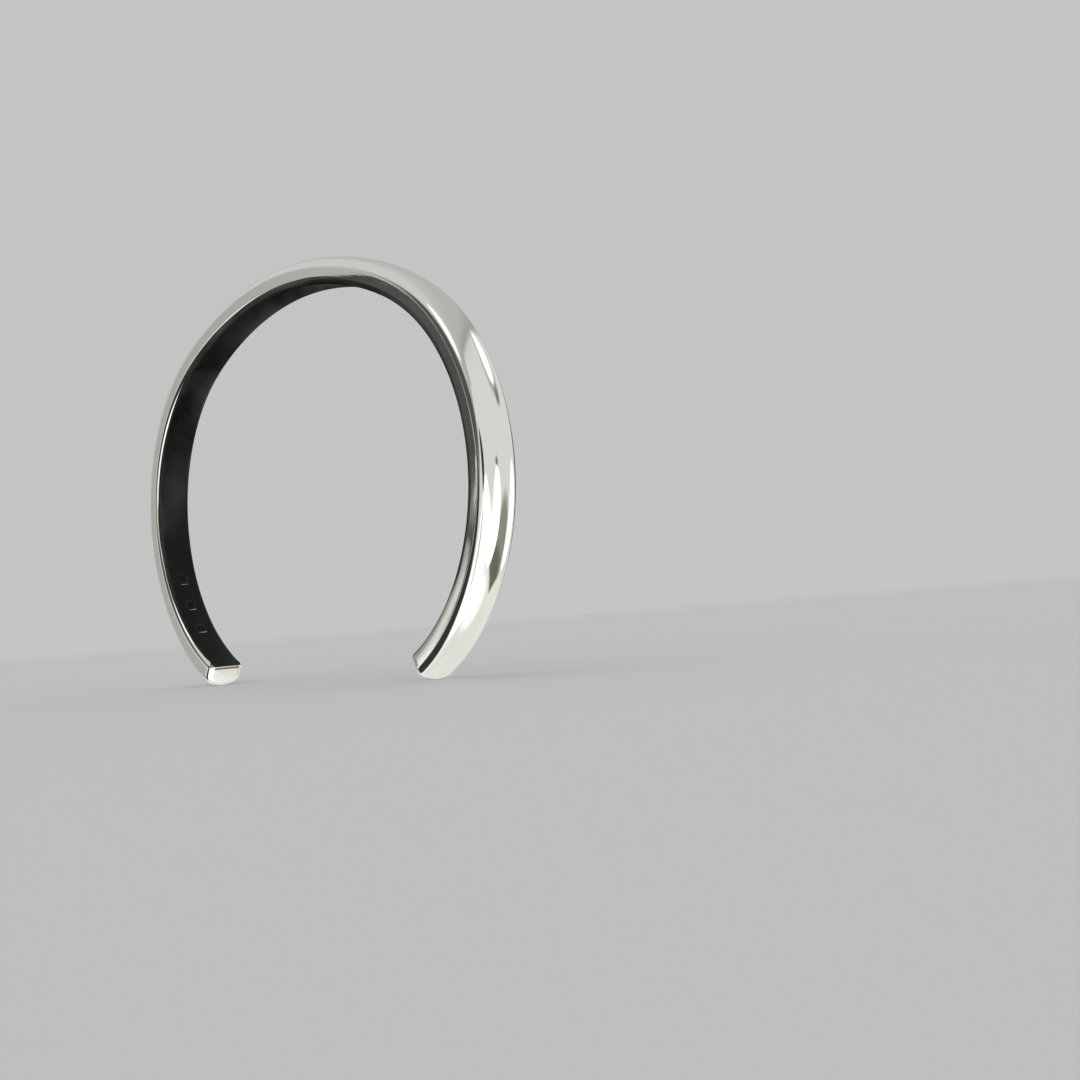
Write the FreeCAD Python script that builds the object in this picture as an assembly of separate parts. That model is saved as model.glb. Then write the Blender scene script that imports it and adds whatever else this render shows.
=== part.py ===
import FreeCAD, Part
import math
import os

# Open cuff bangle: one bar of solid silver bent into an oval C, gap downwards.
# Millimetres. The wrist goes through along Y, +Z is up, and the gap faces -Z.
# The origin is under the middle of the cuff, level with the lowest points of its two terminals.

INNER_WIDTH = 60.0        # inside the cuff, along X, at its widest
SIDE_RADIUS = 21.5        # of the bar's centre line round each side
TOP_RADIUS = 43.0         # of the bar's centre line over the top
TERMINAL_ANGLE = 152.3    # from straight up to the direction that each end's outer face looks in

BAR_WIDTH = 4.4           # along Y
BAR_THICKNESS = 3.0       # from the inner face to the crown of the outer face
CROWN_RISE = 0.25         # how much the outer face bulges between its two corners
OUTER_CORNER = 1.1        # radius where the outer face turns into a side face
INNER_CORNER = 0.65       # radius where the inner face turns into a side face
TERMINAL_ROUND = 0.6      # radius all round each end face

MARK_COUNT = 3            # blank punch marks on the inner face, near the -X terminal
MARK_FIRST = 7.9          # along the centre line, from the end face to the first mark's middle
MARK_PITCH = 3.9
MARK_LENGTH = 1.5
MARK_WIDTH = 1.3
MARK_DEPTH = 0.12

# Each side arc is centred level with the widest point, and the top arc meets both smoothly.
HALF_WIDTH = INNER_WIDTH / 2 + BAR_THICKNESS / 2
SIDE_CENTRE_X = HALF_WIDTH - SIDE_RADIUS
JOIN_ANGLE = math.degrees(math.asin(SIDE_CENTRE_X / (TOP_RADIUS - SIDE_RADIUS)))
TOP_CENTRE_Z = -(TOP_RADIUS - SIDE_RADIUS) * math.cos(math.radians(JOIN_ANGLE))

Y_AXIS = FreeCAD.Vector(0, 1, 0)


def direction(angle):
    """Outwards in the XZ plane, at an angle in degrees from +Z towards +X."""
    return FreeCAD.Vector(math.sin(math.radians(angle)), 0, math.cos(math.radians(angle)))


def arc_at(angle):
    """The centre and radius of the centre line's arc at an angle."""
    if abs(angle) < JOIN_ANGLE:
        return FreeCAD.Vector(0, 0, TOP_CENTRE_Z), TOP_RADIUS
    return FreeCAD.Vector(math.copysign(SIDE_CENTRE_X, angle), 0, 0), SIDE_RADIUS


def make_section(centre, outward):
    """The bar's section as a face: flat inner face and sides, crowned outer face."""

    def place(radial, axial):
        return centre + outward * (radial - BAR_THICKNESS / 2) + Y_AXIS * axial

    def arc(first, middle, last):
        return Part.Arc(place(*first), place(*middle), place(*last)).toShape()

    def line(first, last):
        return Part.LineSegment(place(*first), place(*last)).toShape()

    # The crown is one arc, tangent to the two outer corner arcs.
    side = BAR_WIDTH / 2
    corner_y = side - OUTER_CORNER
    crown_radius = (corner_y ** 2 + CROWN_RISE ** 2) / (2 * CROWN_RISE) + OUTER_CORNER
    reach = crown_radius - OUTER_CORNER
    crown_r = BAR_THICKNESS - crown_radius
    corner_r = crown_r + math.sqrt(reach ** 2 - corner_y ** 2)
    turn = math.asin(corner_y / reach)
    crown_end = (crown_r + crown_radius * math.cos(turn), crown_radius * math.sin(turn))
    half_turn = (turn + math.pi / 2) / 2
    corner_mid = (corner_r + OUTER_CORNER * math.cos(half_turn),
                  corner_y + OUTER_CORNER * math.sin(half_turn))
    flat_y = side - INNER_CORNER
    inner_mid = INNER_CORNER * (1 - math.sqrt(0.5))

    def mirror(point):
        return point[0], -point[1]

    rim = Part.Wire([
        line((0, -flat_y), (0, flat_y)),
        arc((0, flat_y), (inner_mid, side - inner_mid), (INNER_CORNER, side)),
        line((INNER_CORNER, side), (corner_r, side)),
        arc((corner_r, side), corner_mid, crown_end),
        arc(crown_end, (BAR_THICKNESS, 0), mirror(crown_end)),
        arc(mirror(crown_end), mirror(corner_mid), (corner_r, -side)),
        line((corner_r, -side), (INNER_CORNER, -side)),
        arc((INNER_CORNER, -side), (inner_mid, inner_mid - side), (0, -flat_y)),
    ])
    return Part.Face(rim)


def bend_bar(start, end):
    """One arc of the bar, from one angle to another."""
    centre, radius = arc_at((start + end) / 2)
    section = make_section(centre + direction(start) * radius, direction(start))
    return section.revolve(centre, Y_AXIS, end - start)


def soften_terminals(bar):
    """Round the rim of both end faces."""
    rims = []
    for angle in (-TERMINAL_ANGLE, TERMINAL_ANGLE):
        centre, radius = arc_at(angle)
        middle = centre + direction(angle) * radius
        along = direction(angle).cross(Y_AXIS)
        for face in bar.Faces:
            flat = face.Surface.TypeId == "Part::GeomPlane"
            if flat and abs(face.Surface.Axis.dot(along)) > 0.999:
                if (face.CenterOfMass - middle).Length < BAR_THICKNESS:
                    rims += face.Edges
    return bar.makeFillet(TERMINAL_ROUND, rims)


def punch_mark(distance):
    """The tool that sinks one blank mark into the inner face, at a distance from the end face."""
    angle = math.degrees(distance / SIDE_RADIUS) - TERMINAL_ANGLE
    centre, radius = arc_at(angle)
    tool = Part.makeBox(MARK_LENGTH, MARK_WIDTH, 2 * MARK_DEPTH,
                        FreeCAD.Vector(-MARK_LENGTH / 2, -MARK_WIDTH / 2, -MARK_DEPTH))
    corners = [e for e in tool.Edges if e.BoundBox.ZLength > MARK_DEPTH]
    tool = tool.makeFillet(MARK_WIDTH / 4, corners)
    face = centre + direction(angle) * (radius - BAR_THICKNESS / 2)
    tool.Placement = FreeCAD.Placement(face, FreeCAD.Rotation(Y_AXIS, angle))
    return tool


def make_cuff():
    left = bend_bar(-TERMINAL_ANGLE, -JOIN_ANGLE)
    top = bend_bar(-JOIN_ANGLE, JOIN_ANGLE)
    right = bend_bar(JOIN_ANGLE, TERMINAL_ANGLE)
    cuff = soften_terminals(left.fuse([top, right]).removeSplitter())
    for i in range(MARK_COUNT):
        cuff = cuff.cut(punch_mark(MARK_FIRST + i * MARK_PITCH))
    cuff = cuff.Solids[0]
    cuff.translate(FreeCAD.Vector(0, 0, -cuff.optimalBoundingBox().ZMin))
    return cuff


os.makedirs("parts", exist_ok=True)
cuff_band = make_cuff()
cuff_band.exportStep("parts/cuff_band.step")

box = cuff_band.optimalBoundingBox()
print("cuff_band", "valid" if cuff_band.isValid() else "NOT VALID",
      "volume %.1f mm3," % cuff_band.Volume,
      "box %.2f x %.2f x %.2f mm," % (box.XLength, box.YLength, box.ZLength),
      "lowest %.3f mm" % box.ZMin)
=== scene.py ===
import math

import bpy
import numpy as np
from mathutils import Matrix, Vector, noise


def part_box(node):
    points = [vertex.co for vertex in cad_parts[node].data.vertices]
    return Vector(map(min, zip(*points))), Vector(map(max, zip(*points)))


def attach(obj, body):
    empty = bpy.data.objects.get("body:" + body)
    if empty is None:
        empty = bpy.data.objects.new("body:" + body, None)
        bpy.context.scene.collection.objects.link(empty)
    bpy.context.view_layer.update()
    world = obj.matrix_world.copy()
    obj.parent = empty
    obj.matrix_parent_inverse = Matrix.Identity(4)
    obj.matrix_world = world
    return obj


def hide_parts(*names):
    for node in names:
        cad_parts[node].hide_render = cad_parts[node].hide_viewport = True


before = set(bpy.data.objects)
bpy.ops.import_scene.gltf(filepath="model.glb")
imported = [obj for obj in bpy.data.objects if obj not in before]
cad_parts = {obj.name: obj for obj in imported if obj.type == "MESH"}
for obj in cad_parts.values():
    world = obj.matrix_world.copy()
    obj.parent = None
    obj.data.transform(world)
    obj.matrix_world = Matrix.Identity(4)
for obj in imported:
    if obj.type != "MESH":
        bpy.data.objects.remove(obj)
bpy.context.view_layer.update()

# An open cuff bangle in polished silver: one solid bar bent into an oval C, gap downwards.
# Metres. The wrist goes through along Y, +Z is up, and the terminals rest on the floor at z = 0.

# --- The cuff -------------------------------------------------------------------------------

LOW, HIGH = (Vector(corner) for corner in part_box("cuff_band"))

SIDE_RADIUS = 0.0215      # of the bar's centre line round each side
TOP_RADIUS = 0.0430       # of the bar's centre line over the top
TERMINAL_ANGLE = math.radians(152.3)
JOIN_BLEND = 0.14         # how gently one radius turns into the other, as a sine on each side

BAR_WIDTH = HIGH.y - LOW.y
BAR_THICKNESS = 0.0030
CROWN_RISE = 0.00025
OUTER_CORNER = 0.0011
INNER_CORNER = 0.00065
TERMINAL_ROUND = 0.0006
TERMINAL_CROWN = 0.000015  # how much each end face bulges

HALF_WIDTH = (HIGH.x - LOW.x) / 2 - BAR_THICKNESS / 2
# The level at which the cuff is widest: the side arcs are centred on it.
WIDEST = HIGH.z - TOP_RADIUS - BAR_THICKNESS / 2 + math.sqrt(
    (TOP_RADIUS - SIDE_RADIUS) ** 2 - (HALF_WIDTH - SIDE_RADIUS) ** 2)

MARK_COUNT = 3            # blank punch marks on the inner face, near the -X terminal
MARK_FIRST = 0.0079       # along the centre line, from the end face to the first mark's middle
MARK_PITCH = 0.0039
MARK_LENGTH = 0.0015
MARK_WIDTH = 0.0013
MARK_DEPTH = 0.00010
MARK_WALL = 0.00026       # how wide the sloping wall of a mark is
MARK_LIP = 0.000005       # metal that the punch pushed up round a mark

WAVE_HEIGHT = 0.000014    # the slight unevenness that hand filing leaves under the polish
WAVE_LENGTH = 0.0075

CENTRE_SAMPLES = 24001    # of the centre line, before the mesh's rings are placed on it
STATION_STEP = 0.0004     # mesh spacing along the bar
MARK_STEP = 0.00007       # and over the marks
TERMINAL_ROUND_STEPS = 8
TERMINAL_RINGS = (0.1, 0.28, 0.48, 0.68, 0.86)     # on an end face, as parts of its size
INNER_STEPS = 48          # mesh steps round the section, face by face and corner by corner
SIDE_STEPS = 8
CROWN_STEPS = 26
INNER_CORNER_STEPS = 9
OUTER_CORNER_STEPS = 14


def smooth_step(start, end, value):
    t = np.clip((value - start) / (end - start), 0.0, 1.0)
    return t * t * (3 - 2 * t)


def running_total(rate, position):
    steps = (rate[1:] + rate[:-1]) / 2 * np.diff(position)
    return np.concatenate([[0.0], np.cumsum(steps)])


class CentreLine:
    """The middle of the bar, measured from the -X terminal to the +X one."""

    def __init__(self):
        angle = np.linspace(-TERMINAL_ANGLE, TERMINAL_ANGLE, CENTRE_SAMPLES)
        join = (HALF_WIDTH - SIDE_RADIUS) / (TOP_RADIUS - SIDE_RADIUS)
        turned = np.where(np.abs(angle) < math.pi / 2, np.abs(np.sin(angle)), 1.0)
        side = smooth_step(join - JOIN_BLEND, join + JOIN_BLEND, turned)
        radius = TOP_RADIUS + (SIDE_RADIUS - TOP_RADIUS) * side
        self.angle = angle
        self.distance = running_total(radius, angle)
        self.x = running_total(radius * np.cos(angle), angle)
        self.x -= self.x[-1] / 2
        self.z = -running_total(radius * np.sin(angle), angle)
        self.length = self.distance[-1]

    def at(self, distance):
        """A point of the line, which goes straight on past its ends, and the way out from it."""
        angle = np.interp(distance, self.distance, self.angle)
        x = np.interp(distance, self.distance, self.x)
        z = np.interp(distance, self.distance, self.z)
        out = np.array([math.sin(angle), 0, math.cos(angle)])
        along = np.array([math.cos(angle), 0, -math.sin(angle)])
        past = min(distance, 0.0) + max(distance - self.length, 0.0)
        return np.array([x, 0, z]) + along * past, out


def arc_points(centre, radius, start, end, steps):
    """Points and normals along an arc in the section, without its last point."""
    turn = start + (end - start) * np.arange(steps) / steps
    normal = np.stack([np.cos(turn), np.sin(turn)], -1)
    return np.array(centre) + radius * normal, normal


def line_points(start, end, normal, steps):
    """Points and normals along a straight line in the section, without its last point."""
    t = (np.arange(steps) / steps)[:, None]
    return np.array(start) * (1 - t) + np.array(end) * t, np.tile(normal, (steps, 1))


def section(inset):
    """The bar's outline as (height over the inner face, y), shrunk by an inset, with its normals."""
    side = BAR_WIDTH / 2
    corner_y = side - OUTER_CORNER
    flat_y = side - INNER_CORNER
    crown_radius = (corner_y ** 2 + CROWN_RISE ** 2) / (2 * CROWN_RISE) + OUTER_CORNER
    reach = crown_radius - OUTER_CORNER
    crown_r = BAR_THICKNESS - crown_radius
    corner_r = crown_r + math.sqrt(reach ** 2 - corner_y ** 2)
    turn = math.asin(corner_y / reach)
    quarter = math.pi / 2
    edge = side - inset
    inner = INNER_CORNER - inset
    outer = OUTER_CORNER - inset
    runs = [
        line_points((inset, -flat_y), (inset, flat_y), (-1, 0), INNER_STEPS),
        arc_points((INNER_CORNER, flat_y), inner, math.pi, quarter, INNER_CORNER_STEPS),
        line_points((INNER_CORNER, edge), (corner_r, edge), (0, 1), SIDE_STEPS),
        arc_points((corner_r, corner_y), outer, quarter, turn, OUTER_CORNER_STEPS),
        arc_points((crown_r, 0), crown_radius - inset, turn, -turn, CROWN_STEPS),
        arc_points((corner_r, -corner_y), outer, -turn, -quarter, OUTER_CORNER_STEPS),
        line_points((corner_r, -edge), (INNER_CORNER, -edge), (0, -1), SIDE_STEPS),
        arc_points((INNER_CORNER, -flat_y), inner, -quarter, -math.pi, INNER_CORNER_STEPS),
    ]
    return np.concatenate([r[0] for r in runs]), np.concatenate([r[1] for r in runs])


def mark_middles():
    return [MARK_FIRST + i * MARK_PITCH for i in range(MARK_COUNT)]


def stations(length):
    """Distances along the bar for the mesh's rings, closer together over the marks."""
    reach = MARK_LENGTH / 2 + 2 * MARK_WALL
    stops = [TERMINAL_ROUND]
    for middle in mark_middles():
        stops += [middle - reach, middle + reach]
    stops.append(length - TERMINAL_ROUND)
    found = []
    for i, (start, end) in enumerate(zip(stops, stops[1:])):
        step = MARK_STEP if i % 2 else STATION_STEP
        count = max(2, round((end - start) / step))
        found.append(np.linspace(start, end, count, endpoint=False))
    return np.concatenate(found + [[stops[-1]]])


def mark_shape(distance, across):
    """How far a point on the inner face is sunk, and how deep in a mark it is from 0 to 1."""
    corner = MARK_WIDTH / 4
    sunk, inside = 0.0, 0.0
    for middle in mark_middles():
        u = np.abs(distance - middle) - (MARK_LENGTH / 2 - corner)
        v = np.abs(across) - (MARK_WIDTH / 2 - corner)
        outside = np.hypot(np.maximum(u, 0), np.maximum(v, 0)) + np.minimum(np.maximum(u, v), 0)
        gap = outside - corner
        floor = smooth_step(0.0, -MARK_WALL, gap)
        # The lip rises at the mark's edge and is gone again two wall widths outside it.
        lip = smooth_step(-0.2 * MARK_WALL, 0.5 * MARK_WALL, gap)
        lip = lip * smooth_step(2 * MARK_WALL, 0.5 * MARK_WALL, gap)
        sunk = sunk + MARK_DEPTH * floor - MARK_LIP * lip
        inside = inside + floor
    return sunk, inside


def unevenness(points):
    """Slow bumps over the surface, in metres."""
    values = [noise.noise(Vector(p) / WAVE_LENGTH) for p in points]
    return WAVE_HEIGHT * np.array(values)


def end_rings():
    """From the middle of an end face outwards: distance from the end, outline, normals."""
    rim, rim_normals = section(TERMINAL_ROUND)
    middle = np.array([BAR_THICKNESS / 2, 0.0])
    for size in TERMINAL_RINGS:
        bulge = TERMINAL_CROWN * (1 - size ** 2) ** 2
        yield -bulge, middle + (rim - middle) * size, rim_normals * 0
    for turn in np.linspace(0, math.pi / 2, TERMINAL_ROUND_STEPS, endpoint=False):
        outline, normals = section(TERMINAL_ROUND * (1 - math.sin(turn)))
        yield TERMINAL_ROUND * (1 - math.cos(turn)), outline, normals * math.sin(turn)


def bar_rings(length):
    """From the -X terminal to the +X one: distance along the bar, outline, normals."""
    outline, normals = section(0)
    ends = list(end_rings())
    bar = [(distance, outline, normals) for distance in stations(length)]
    return ends + bar + [(length - distance, o, n) for distance, o, n in reversed(ends)]


def place_ring(line, distance, outline, normals):
    """The ring's points on the bar, and how deep in a mark each of them is from 0 to 1."""
    inner = normals[:, 0] < -0.999
    sunk, inside = mark_shape(distance, outline[:, 1])
    height = outline[:, 0] + np.where(inner, sunk, 0.0)
    middle, out = line.at(distance)
    points = middle + np.outer(height - BAR_THICKNESS / 2, out) + np.outer(outline[:, 1], [0, 1, 0])
    facing = np.outer(normals[:, 0], out) + np.outer(normals[:, 1], [0, 1, 0])
    return points + facing * unevenness(points)[:, None], np.where(inner, inside, 0.0)


def settle(verts):
    """Stand the cuff where the CAD model stands, and stretch it over its widest level to that height."""
    verts[:, 2] -= verts[:, 2].min()
    widest = verts[np.argmax(verts[:, 0]), 2]
    rise = (HIGH.z - LOW.z - widest) / (verts[:, 2].max() - widest)
    upper = verts[:, 2] > widest
    verts[upper, 2] = widest + (verts[upper, 2] - widest) * rise
    verts[:, 2] += LOW.z
    return verts


def ring_faces(count, around):
    """Quads between neighbouring rings, and a fan of triangles from each end ring to its tip."""
    first_tip = count * around
    last_ring = first_tip - around
    faces = []
    for k in range(around):
        nxt = (k + 1) % around
        for a in range(0, last_ring, around):
            b = a + around
            faces.append((a + k, a + nxt, b + nxt, b + k))
        faces.append((first_tip, nxt, k))
        faces.append((first_tip + 1, last_ring + k, last_ring + nxt))
    return faces


def lay_metric_map(mesh, distances, length):
    """A UV map in metres: along the bar, and round it from the -Y edge of the inner face."""
    steps = np.hypot(*np.diff(section(0)[0], axis=0).T)
    perimeter = np.concatenate([[0.0], np.cumsum(steps)])
    whole = perimeter[-1] + steps[0]
    rings = [np.stack([np.full(len(perimeter), distance), perimeter], -1) for distance in distances]
    metric = np.concatenate([*rings, [[0.0, 0.0], [length, 0.0]]])
    vertex = np.zeros(len(mesh.loops), dtype=np.int32)
    mesh.loops.foreach_get("vertex_index", vertex)
    uv = metric[vertex]
    # Faces over the seam go on past the whole way round.
    for polygon in mesh.polygons:
        face = uv[polygon.loop_start:polygon.loop_start + polygon.loop_total]
        if np.ptp(face[:, 1]) > whole / 2:
            face[face[:, 1] < whole / 2, 1] += whole
    layer = mesh.uv_layers.new(name="metric")
    layer.data.foreach_set("uv", uv.astype(np.float32).ravel())


def build_cuff():
    """One section swept along the bar, closed by a rounded cap at each end."""
    line = CentreLine()
    rings = bar_rings(line.length)
    points, inside = zip(*(place_ring(line, *ring) for ring in rings))
    tips = [line.at(distance)[0] for distance in (-TERMINAL_CROWN, line.length + TERMINAL_CROWN)]
    verts = settle(np.concatenate([*points, tips]))

    mesh = bpy.data.meshes.new("cuff")
    mesh.from_pydata(verts.tolist(), [], ring_faces(len(rings), len(rings[0][1])))
    mesh.validate()
    mesh.shade_smooth()
    lay_metric_map(mesh, [ring[0] for ring in rings], line.length)
    depth = mesh.attributes.new("mark_depth", "FLOAT", "POINT")
    depth.data.foreach_set("value", np.concatenate([*inside, [0.0, 0.0]]).astype(np.float32))
    cuff = bpy.data.objects.new("cuff", mesh)
    bpy.context.scene.collection.objects.link(cuff)
    return cuff


# --- Materials ------------------------------------------------------------------------------

class Nodes:
    """A short way to add and link shader nodes."""

    def __init__(self, tree):
        self.tree = tree
        self.tree.nodes.clear()

    def add(self, kind, inputs=None, **settings):
        node = self.tree.nodes.new(kind)
        for name, value in settings.items():
            setattr(node, name, value)
        for name, value in (inputs or {}).items():
            if isinstance(value, bpy.types.NodeSocket):
                self.tree.links.new(value, node.inputs[name])
            else:
                node.inputs[name].default_value = value
        return node

    def math(self, operation, *values):
        return self.add("ShaderNodeMath", dict(enumerate(values)), operation=operation).outputs[0]

    def plus(self, first, second):
        return self.math("ADD", first, second)

    def minus(self, first, second):
        return self.math("SUBTRACT", first, second)

    def times(self, product, *factors):
        for factor in factors:
            product = self.math("MULTIPLY", product, factor)
        return product

    def larger(self, first, second):
        return self.math("MAXIMUM", first, second)

    def ramp(self, value, low, high, start=0.0, end=1.0):
        """value from low to high becomes start to end, smoothly."""
        inputs = {"Value": value, "From Min": low, "From Max": high, "To Min": start, "To Max": end}
        return self.add("ShaderNodeMapRange", inputs, interpolation_type="SMOOTHSTEP").outputs["Result"]

    def noise(self, vector, scale, detail):
        inputs = {"Vector": vector, "Scale": scale, "Detail": detail}
        return self.add("ShaderNodeTexNoise", inputs).outputs["Fac"]

    def mix(self, factor, first, second):
        inputs = {0: factor, 6: first, 7: second}
        return self.add("ShaderNodeMix", inputs, data_type="RGBA").outputs[2]


def new_material(name):
    """A material and the nodes it is made of."""
    material = bpy.data.materials.new(name)
    material.use_nodes = True
    return material, Nodes(material.node_tree)


SILVER = (0.955, 0.95, 0.885, 1)
TARNISH = (0.30, 0.27, 0.22, 1)
ROUGHNESS = (0.035, 0.085)              # where it is cleanest, and where it has been handled most
WORN_ROUGHNESS = 0.06                   # that scratches add
GRIME_ROUGHNESS = 0.25                  # that the dirt in the marks adds
HAIRLINE_SCALE = (140, 5200, 1)         # per metre, along the bar and round it
HAIRLINE_HEIGHT = 0.0000012
SCRATCH_SCALE = (160, 900, 1)
SCRATCH_TURNS = (0.5, 1.35, 2.4)
SCRATCH_WIDTH = 0.02                    # as a part of the space between scratches
SCRATCH_DEPTH = 0.0000006
WEAR_SCALE = 260                        # per metre, of where there are scratches and where not
WEAR_SPREAD = (0.48, 0.68)              # of its noise: no scratches, and all of them
HAZE_SCALE = 120
HAZE_SPREAD = (0.35, 0.7)
GRIME_SPREAD = (0.15, 0.9)              # of the depth in a mark: no dirt, and all of it
GRIME_STRENGTH = (0.25, 0.6, 0.45, 0.9)  # haze noise: from, to, and how strong at each


def polished_silver():
    material, n = new_material("polished_silver")
    metric = n.add("ShaderNodeUVMap", uv_map="metric").outputs["UV"]
    place = n.add("ShaderNodeTexCoord").outputs["Object"]

    # Hairlines that polishing draws along the bar: long, fine and faint.
    drawn = n.add("ShaderNodeMapping", {"Vector": metric, "Scale": HAIRLINE_SCALE}).outputs[0]
    hairlines = n.noise(drawn, 1, 3)

    # Scratches from wear, in no one direction.
    scratch = 0.0
    for turn in SCRATCH_TURNS:
        inputs = {"Vector": metric, "Rotation": (0, 0, turn), "Scale": SCRATCH_SCALE}
        slanted = n.add("ShaderNodeMapping", inputs).outputs[0]
        cells = n.add("ShaderNodeTexVoronoi", {"Vector": slanted, "Scale": 1},
                      feature="DISTANCE_TO_EDGE").outputs["Distance"]
        scratch = n.larger(scratch, n.ramp(cells, 0.0, SCRATCH_WIDTH, 1.0, 0.0))
    worn = n.times(scratch, n.ramp(n.noise(place, WEAR_SCALE, 2), *WEAR_SPREAD))

    # Haze where it has been handled, and dirt in the marks.
    haze = n.noise(place, HAZE_SCALE, 4)
    sunk = n.add("ShaderNodeAttribute", attribute_name="mark_depth").outputs["Fac"]
    grime = n.times(n.ramp(sunk, *GRIME_SPREAD), n.ramp(haze, *GRIME_STRENGTH))

    rough = n.ramp(haze, *HAZE_SPREAD, *ROUGHNESS)
    rough = n.plus(rough, n.times(worn, WORN_ROUGHNESS))
    rough = n.plus(rough, n.times(grime, GRIME_ROUGHNESS))

    lines = n.add("ShaderNodeBump", {"Height": hairlines, "Distance": HAIRLINE_HEIGHT, "Strength": 1.0})
    wear = n.add("ShaderNodeBump", {"Height": worn, "Distance": SCRATCH_DEPTH, "Strength": 1.0,
                                    "Normal": lines.outputs[0]}, invert=True)
    shader = n.add("ShaderNodeBsdfPrincipled", {
        "Base Color": n.mix(grime, SILVER, TARNISH),
        "Metallic": 1.0,
        "Roughness": rough,
        "Normal": wear.outputs[0],
    })
    n.add("ShaderNodeOutputMaterial", {"Surface": shader.outputs[0]})
    return material


# --- The floor ------------------------------------------------------------------------------

BACKDROP = (0.545, 0.558, 0.552)
FLOOR_COLOUR = (0.72, 0.737, 0.729)
FLOOR_LIT = (0.547, 0.562, 0.557)      # how bright the lit floor is, for a horizon that doesn't show
FLOOR_RADIUS = 1.6
FLOOR_FADE = 0.3
FLOOR_SIDES = 96


def floor_paper():
    """Matte pale paper that fades into the backdrop far away."""
    material, n = new_material("floor_paper")
    place = n.add("ShaderNodeTexCoord").outputs["Object"]
    away = n.add("ShaderNodeVectorMath", {0: place}, operation="LENGTH").outputs["Value"]
    paper = n.add("ShaderNodeBsdfDiffuse", {"Color": (*FLOOR_COLOUR, 1)}).outputs[0]
    clear = n.add("ShaderNodeBsdfTransparent").outputs[0]
    far = n.ramp(away, FLOOR_FADE, FLOOR_RADIUS)
    mixed = n.add("ShaderNodeMixShader", {0: far, 1: paper, 2: clear}).outputs[0]
    n.add("ShaderNodeOutputMaterial", {"Surface": mixed})
    return material


def make_floor():
    turns = [2 * math.pi * i / FLOOR_SIDES for i in range(FLOOR_SIDES)]
    rim = [(FLOOR_RADIUS * math.cos(turn), FLOOR_RADIUS * math.sin(turn), LOW.z) for turn in turns]
    mesh = bpy.data.meshes.new("floor")
    mesh.from_pydata(rim, [], [tuple(range(FLOOR_SIDES))])
    mesh.materials.append(floor_paper())
    floor = bpy.data.objects.new("floor", mesh)
    bpy.context.scene.collection.objects.link(floor)
    floor.visible_glossy = False


# --- The display form -----------------------------------------------------------------------

# The dark form that the cuff is worn on in the studio. Only reflections show it.
# At each distance along Y: the middle's x and z, how far it reaches to +X and to -X, half the height.
FORM_STATIONS = {
    -0.020: (-0.015, 0.0236, 0.0285, 0.0060, 0.0256),
    0.000: (0.000, 0.0240, 0.0262, 0.0262, 0.0172),
    0.012: (-0.004, 0.0235, 0.0290, 0.0290, 0.0225),
    0.030: (-0.010, 0.0225, 0.0360, 0.0360, 0.0215),
    0.070: (-0.014, 0.0240, 0.0420, 0.0420, 0.0220),
}
FORM_RINGS = 61
FORM_SIDES = 72

FORM_DARK = (0.035, 0.035, 0.036, 1)
# Painted sheen: lighter patches at random on the form's dark coat.
FORM_SHEEN = (0.110, 0.112, 0.112, 1)
# Painted light: the coat's colour at its -Y end, lighter as if lit from the table.
FORM_LIT = (0.13, 0.135, 0.135, 1)
SHEEN_SCALE = 110
SHEEN_SPREAD = (0.4, 0.65)

# From here on, a pair of numbers is where something begins and where it is full.
# Where the painted light on the coat begins and where it is full:
LIT_FRONT = (-0.004, -0.018)           # in y
LIT_SIDE = (-0.012, 0.010)             # in x
# The colour of the form's painted glow.
FORM_GLOW = (1.0, 1.0, 0.99, 1)

# The form's -Y end carries a patch and a streak of painted light, an emission though the form is no lamp,
# for the cuff's side face to reflect. That face sees the end aslant, so both are laid out by z and by
# "beside", which is x - GLOW_SLANT * y.
GLOW_SLANT = 1.23
GLOW_START = (0.000, -0.006)           # in y

# The patch is a band that curves: across it goes z - beside - PATCH_BEND * (z - PATCH_LEVEL) ** 2.
PATCH_BEND = 42.0
PATCH_LEVEL = 0.0062
PATCH_LEFT = (-0.0207, -0.0211)        # across: its -X edge, open below PATCH_OPEN in z
PATCH_OPEN = (0.0110, 0.0085)
PATCH_RIGHT = (-0.0239, -0.0235)       # across: its +X edge, which moves in by PATCH_TAPER times z
PATCH_TAPER = 0.15
PATCH_TOP = (0.0150, 0.0130)           # in z
PATCH_STRENGTH = (-0.0209, -0.0226, 0.25, 0.85)     # across: from, to, and how bright at each

# The streak is a thin line that leans.
STREAK_BESIDE = 0.0350                 # where it is, at STREAK_LEVEL in z
STREAK_LEVEL = 0.0191
STREAK_LEAN = 0.35
STREAK_EDGE = (0.0008, 0.0001)         # beside, from its line
STREAK_STRENGTH = (0.0140, 0.0230, 0.0, 1.3)        # in z: from, to, and how bright at each
STREAK_TOP = (0.0236, 0.0226)          # in z


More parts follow.
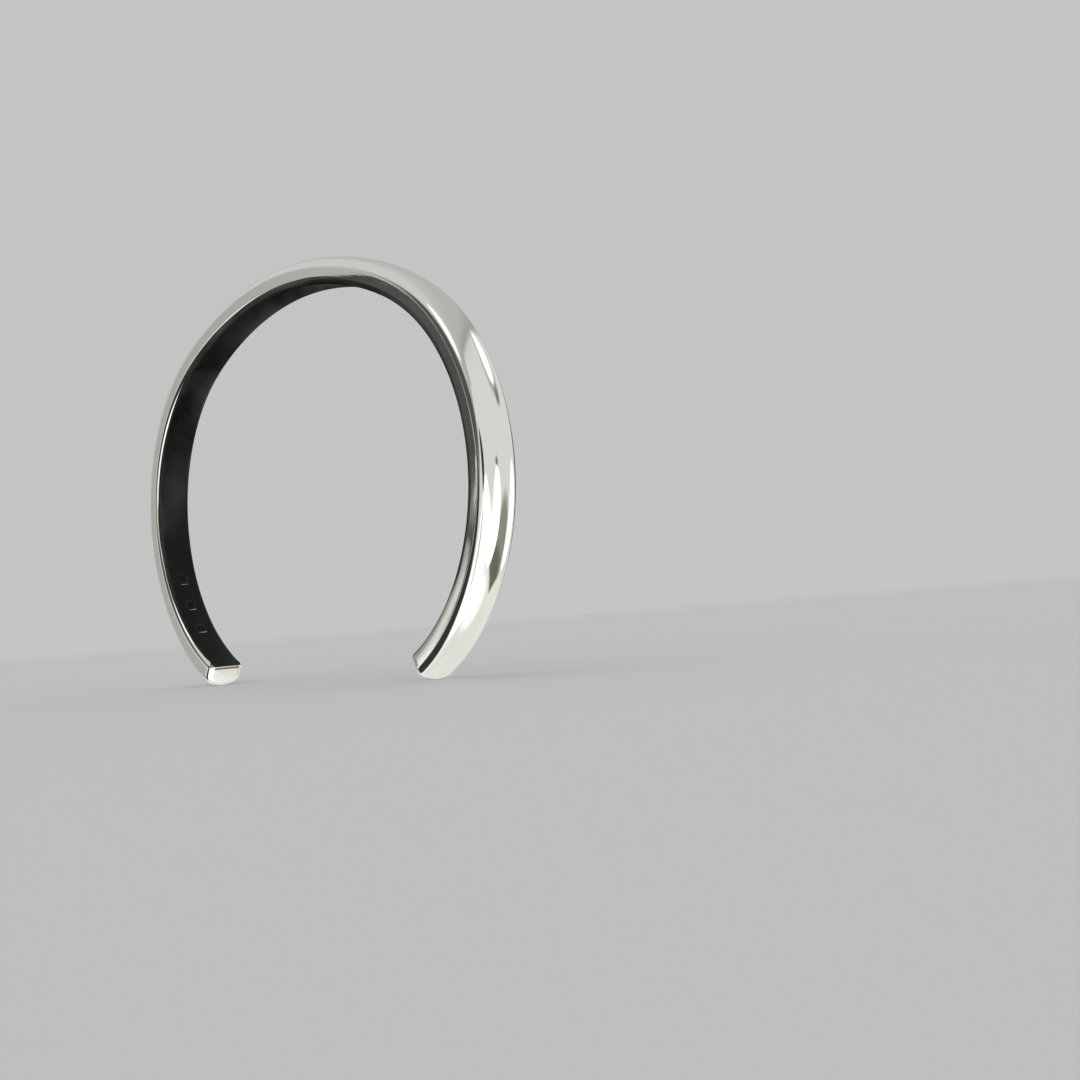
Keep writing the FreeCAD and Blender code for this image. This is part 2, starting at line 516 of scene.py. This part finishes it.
def form_glow(n, place):
    """How brightly a point of the form glows with painted light."""
    beside = n.minus(place["X"], n.times(place["Y"], GLOW_SLANT))

    rise = n.minus(place["Z"], PATCH_LEVEL)
    across = n.minus(n.minus(place["Z"], beside), n.times(rise, rise, PATCH_BEND))
    left = n.larger(n.ramp(across, *PATCH_LEFT), n.ramp(place["Z"], *PATCH_OPEN))
    right = n.ramp(n.minus(across, n.times(place["Z"], PATCH_TAPER)), *PATCH_RIGHT)
    patch = n.times(left, right, n.ramp(place["Z"], *PATCH_TOP), n.ramp(across, *PATCH_STRENGTH))

    lean = n.times(n.minus(place["Z"], STREAK_LEVEL), STREAK_LEAN)
    aside = n.math("ABSOLUTE", n.minus(n.minus(beside, STREAK_BESIDE), lean))
    streak = n.times(n.ramp(place["Z"], *STREAK_STRENGTH), n.ramp(aside, *STREAK_EDGE),
                     n.ramp(place["Z"], *STREAK_TOP))
    return n.times(n.ramp(place["Y"], *GLOW_START), n.larger(patch, streak))


def form_coating():
    """Dark with a faint painted sheen, painted lighter at its -Y end as if lit from the table, and a
    painted glow.
    """
    material, n = new_material("form_coating")
    point = n.add("ShaderNodeTexCoord").outputs["Object"]
    place = n.add("ShaderNodeSeparateXYZ", {0: point}).outputs
    # Painted sheen: noise mixes the dark coat towards lighter patches.
    dark = n.mix(n.ramp(n.noise(point, SHEEN_SCALE, 3), *SHEEN_SPREAD), FORM_DARK, FORM_SHEEN)
    # Painted light: lighter towards -Y and +X, as if lit from the table.
    lit = n.times(n.ramp(place["Y"], *LIT_FRONT), n.ramp(place["X"], *LIT_SIDE))
    coat = n.add("ShaderNodeBsdfDiffuse", {"Color": n.mix(lit, dark, FORM_LIT)}).outputs[0]
    # Painted light: the form glows, though it is no lamp.
    glow = n.add("ShaderNodeEmission", {"Color": FORM_GLOW, "Strength": form_glow(n, place)}).outputs[0]
    both = n.add("ShaderNodeAddShader", {0: coat, 1: glow}).outputs[0]
    n.add("ShaderNodeOutputMaterial", {"Surface": both})
    return material


def smooth_between(value, keys, column):
    """The column's value between its keys, eased at each of them."""
    i = min(max(np.searchsorted(keys, value) - 1, 0), len(keys) - 2)
    t = float(smooth_step(keys[i], keys[i + 1], value))
    return float(column[i] * (1 - t) + column[i + 1] * t)


def make_form():
    keys = sorted(FORM_STATIONS)
    columns = np.array([FORM_STATIONS[key] for key in keys]).T
    verts = []
    for y in np.linspace(keys[0], keys[-1], FORM_RINGS):
        x, z, right, left, height = (smooth_between(y, keys, column) for column in columns)
        for turn in 2 * math.pi * np.arange(FORM_SIDES) / FORM_SIDES:
            reach = right if math.sin(turn) > 0 else left
            verts.append((x + reach * math.sin(turn), y, z + height * math.cos(turn)))
    last_ring = len(verts) - FORM_SIDES
    faces = [tuple(range(FORM_SIDES)), tuple(range(len(verts) - 1, last_ring - 1, -1))]
    for a in range(0, last_ring, FORM_SIDES):
        b = a + FORM_SIDES
        for k in range(FORM_SIDES):
            nxt = (k + 1) % FORM_SIDES
            faces.append((a + k, b + k, b + nxt, a + nxt))
    mesh = bpy.data.meshes.new("display_form")
    mesh.from_pydata(verts, [], faces)
    mesh.shade_smooth()
    mesh.materials.append(form_coating())
    form = bpy.data.objects.new("display_form", mesh)
    bpy.context.scene.collection.objects.link(form)
    form.visible_camera = False
    form.visible_diffuse = False
    form.visible_shadow = False


# --- The studio light -----------------------------------------------------------------------

KEY_AZIMUTH = -100
KEY_ELEVATION = 62
KEY_SIZE = math.radians(50)            # how wide the lamp looks from the cuff
KEY_STRENGTH = 0.45

WALLS_LOW = (0.68, 0.69, 0.69, 1)
WALLS_HIGH = (0.58, 0.59, 0.59, 1)
TABLE_BELOW = (0.76, 0.76, 0.75, 1)
TABLE_AROUND = (0.88, 0.88, 0.87, 1)

# Where one turns into another, as the z of a direction of length 1.
WALLS_CHANGE = (0.7, 0.95)
TABLE_CHANGE = (-1.0, -0.8)
TABLE_EDGE = (-0.78, -0.6)
BACKDROP_CHANGE = (0.0, 0.35)

# Light and dark areas round the cuff, the later over the earlier:
# azimuth, elevation, half width, half height, how wide the edge's blur is, colour.
PANELS = {
    "ceiling_edge": (-113, 53, 68, 68, 2, (0.28, 0.285, 0.28)),
    "ceiling": (-113, 53, 65, 65, 6, (0.46, 0.47, 0.47)),
    "ceiling_left": (-130, 48, 45, 45, 30, (0.60, 0.61, 0.61)),
    "left_wall": (-119, 0, 12, 20, 8, (0.40, 0.40, 0.395)),
    "front_card": (-126.5, -2, 4, 8, 2, (0.90, 0.90, 0.90)),
    "front_wall": (148, 46, 14, 12, 8, (0.42, 0.43, 0.43)),
    "front_softbox": (172, 52, 13, 14, 4, (1.15, 1.15, 1.15)),
    "softbox_rim": (18, 37, 19, 11, 4, (0.42, 0.42, 0.41)),
    "softbox_arm": (25, 27, 8, 3, 3, (0.20, 0.20, 0.19)),
    "back_softbox": (14, 38, 15, 8, 2, (1.15, 1.15, 1.15)),
    "shade": (43, -28, 19.5, 21, 8, (0.27, 0.255, 0.225)),
    "shade_edge": (42, -38, 26, 9, 6, (0.15, 0.14, 0.115)),
    "table_back": (-15, -50, 30, 30, 2, (0.80, 0.80, 0.79)),
    "table": (38, -63, 50, 19, 2, (0.77, 0.77, 0.76)),
    "table_glow": (80, -60, 22, 14, 10, (1.15, 1.15, 1.14)),
    "reflector_back": (14, -10, 13, 16, 2, (1.25, 1.25, 1.24)),
    "reflector_side": (74.5, -20, 13.5, 23, 2, (1.25, 1.25, 1.24)),
    "reflector_clamp": (74, 5, 4, 2, 1, (0.12, 0.12, 0.12)),
    "reflector_front": (137, -34, 44, 34, 3, (1.25, 1.25, 1.24)),
    "front_shade": (156, -24, 5, 18, 5, (0.40, 0.40, 0.40)),
    "photographer": (155, 6, 11, 10, 3, (0.03, 0.03, 0.03)),
    "dark_room": (-149, -21, 20, 30, 4, (0.035, 0.035, 0.035)),
    "dark_room_high": (-159, 21, 27, 16, 8, (0.08, 0.08, 0.08)),
}


def towards(azimuth, elevation):
    """A direction: azimuth in degrees from +Y towards +X, elevation in degrees over the floor."""
    a, e = math.radians(azimuth), math.radians(elevation)
    return Vector((math.sin(a) * math.cos(e), math.cos(a) * math.cos(e), math.sin(e)))


def light_world():
    """Soft light from all round: pale walls over a bright table, and the panels."""
    world = bpy.data.worlds.new("studio")
    bpy.context.scene.world = world
    world.use_nodes = True
    n = Nodes(world.node_tree)
    look = n.add("ShaderNodeTexCoord").outputs["Generated"]

    def along(axis):
        return n.add("ShaderNodeVectorMath", {0: look, 1: axis}, operation="DOT_PRODUCT").outputs["Value"]

    height = along((0, 0, 1))
    walls = n.mix(n.ramp(height, *WALLS_CHANGE), WALLS_LOW, WALLS_HIGH)
    table = n.mix(n.ramp(height, *TABLE_CHANGE), TABLE_BELOW, TABLE_AROUND)
    colour = n.mix(n.ramp(height, *TABLE_EDGE), table, walls)
    for azimuth, elevation, half_width, half_height, softness, tint in PANELS.values():
        middle = towards(azimuth, elevation)
        across = towards(azimuth + 90, 0)
        rise = across.cross(middle)
        # An ellipse: its edge is where the squares add up to 1.
        aside = n.math("DIVIDE", along(across), math.sin(math.radians(half_width)))
        above = n.math("DIVIDE", along(rise), math.sin(math.radians(half_height)))
        edge = n.plus(n.times(aside, aside), n.times(above, above))
        blur = softness / min(half_width, half_height)
        this_side = n.math("GREATER_THAN", along(middle), 0.0)
        mask = n.times(n.ramp(edge, 1 - blur, 1 + blur, 1.0, 0.0), this_side)
        colour = n.mix(mask, colour, (*tint, 1))

    # Seen directly, the surroundings are a plain backdrop.
    seen = n.add("ShaderNodeLightPath").outputs["Is Camera Ray"]
    backdrop = n.mix(n.ramp(height, *BACKDROP_CHANGE), (*FLOOR_LIT, 1), (*BACKDROP, 1))
    colour = n.mix(seen, colour, backdrop)
    sky = n.add("ShaderNodeBackground", {"Color": colour, "Strength": 1.0}).outputs[0]
    n.add("ShaderNodeOutputWorld", {"Surface": sky})


def light_key():
    """A large soft lamp, high on the left, that gives the floor its shadow."""
    lamp = bpy.data.lights.new("key", "SUN")
    lamp.energy = KEY_STRENGTH
    lamp.angle = KEY_SIZE
    key = bpy.data.objects.new("key", lamp)
    key.rotation_euler = towards(KEY_AZIMUTH, KEY_ELEVATION).to_track_quat("Z", "Y").to_euler()
    key.visible_glossy = False
    bpy.context.scene.collection.objects.link(key)


# --- The camera -----------------------------------------------------------------------------

VIEW_AZIMUTH = math.radians(47.185)
VIEW_ELEVATION = math.radians(-2.978)
VIEW_ROLL = math.radians(-4.518)
VIEW_DISTANCE = 0.14993   # from the middle of the cuff's widest level, along the view
VIEW_RIGHT = 0.025598     # how far the view passes to the right of that point
VIEW_BELOW = 0.004608     # and below it
FOCAL_LENGTH = 45.686     # millimetres, on a square sensor
SENSOR_WIDTH = 36
NEAREST = 0.001


def place_camera():
    back = Vector((
        math.sin(VIEW_AZIMUTH) * math.cos(VIEW_ELEVATION),
        -math.cos(VIEW_AZIMUTH) * math.cos(VIEW_ELEVATION),
        math.sin(VIEW_ELEVATION),
    ))
    level = Vector((math.cos(VIEW_AZIMUTH), math.sin(VIEW_AZIMUTH), 0))
    upright = back.cross(level)
    right = level * math.cos(VIEW_ROLL) + upright * math.sin(VIEW_ROLL)
    up = upright * math.cos(VIEW_ROLL) - level * math.sin(VIEW_ROLL)
    data = bpy.data.cameras.new("camera")
    data.sensor_width = SENSOR_WIDTH
    data.lens = FOCAL_LENGTH
    data.clip_start = NEAREST
    camera = bpy.data.objects.new("camera", data)
    middle = Vector((0, 0, WIDEST))
    position = middle + back * VIEW_DISTANCE + right * VIEW_RIGHT - up * VIEW_BELOW
    turn = Matrix((right, up, back)).transposed().to_4x4()
    camera.matrix_world = Matrix.Translation(position) @ turn
    bpy.context.scene.collection.objects.link(camera)
    bpy.context.scene.camera = camera


# --- The scene ------------------------------------------------------------------------------

bpy.context.scene.view_settings.view_transform = "Standard"

cuff = build_cuff()
cuff.data.materials.append(polished_silver())
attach(cuff, "root")
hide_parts("cuff_band")

make_floor()
make_form()
light_world()
light_key()
place_camera()
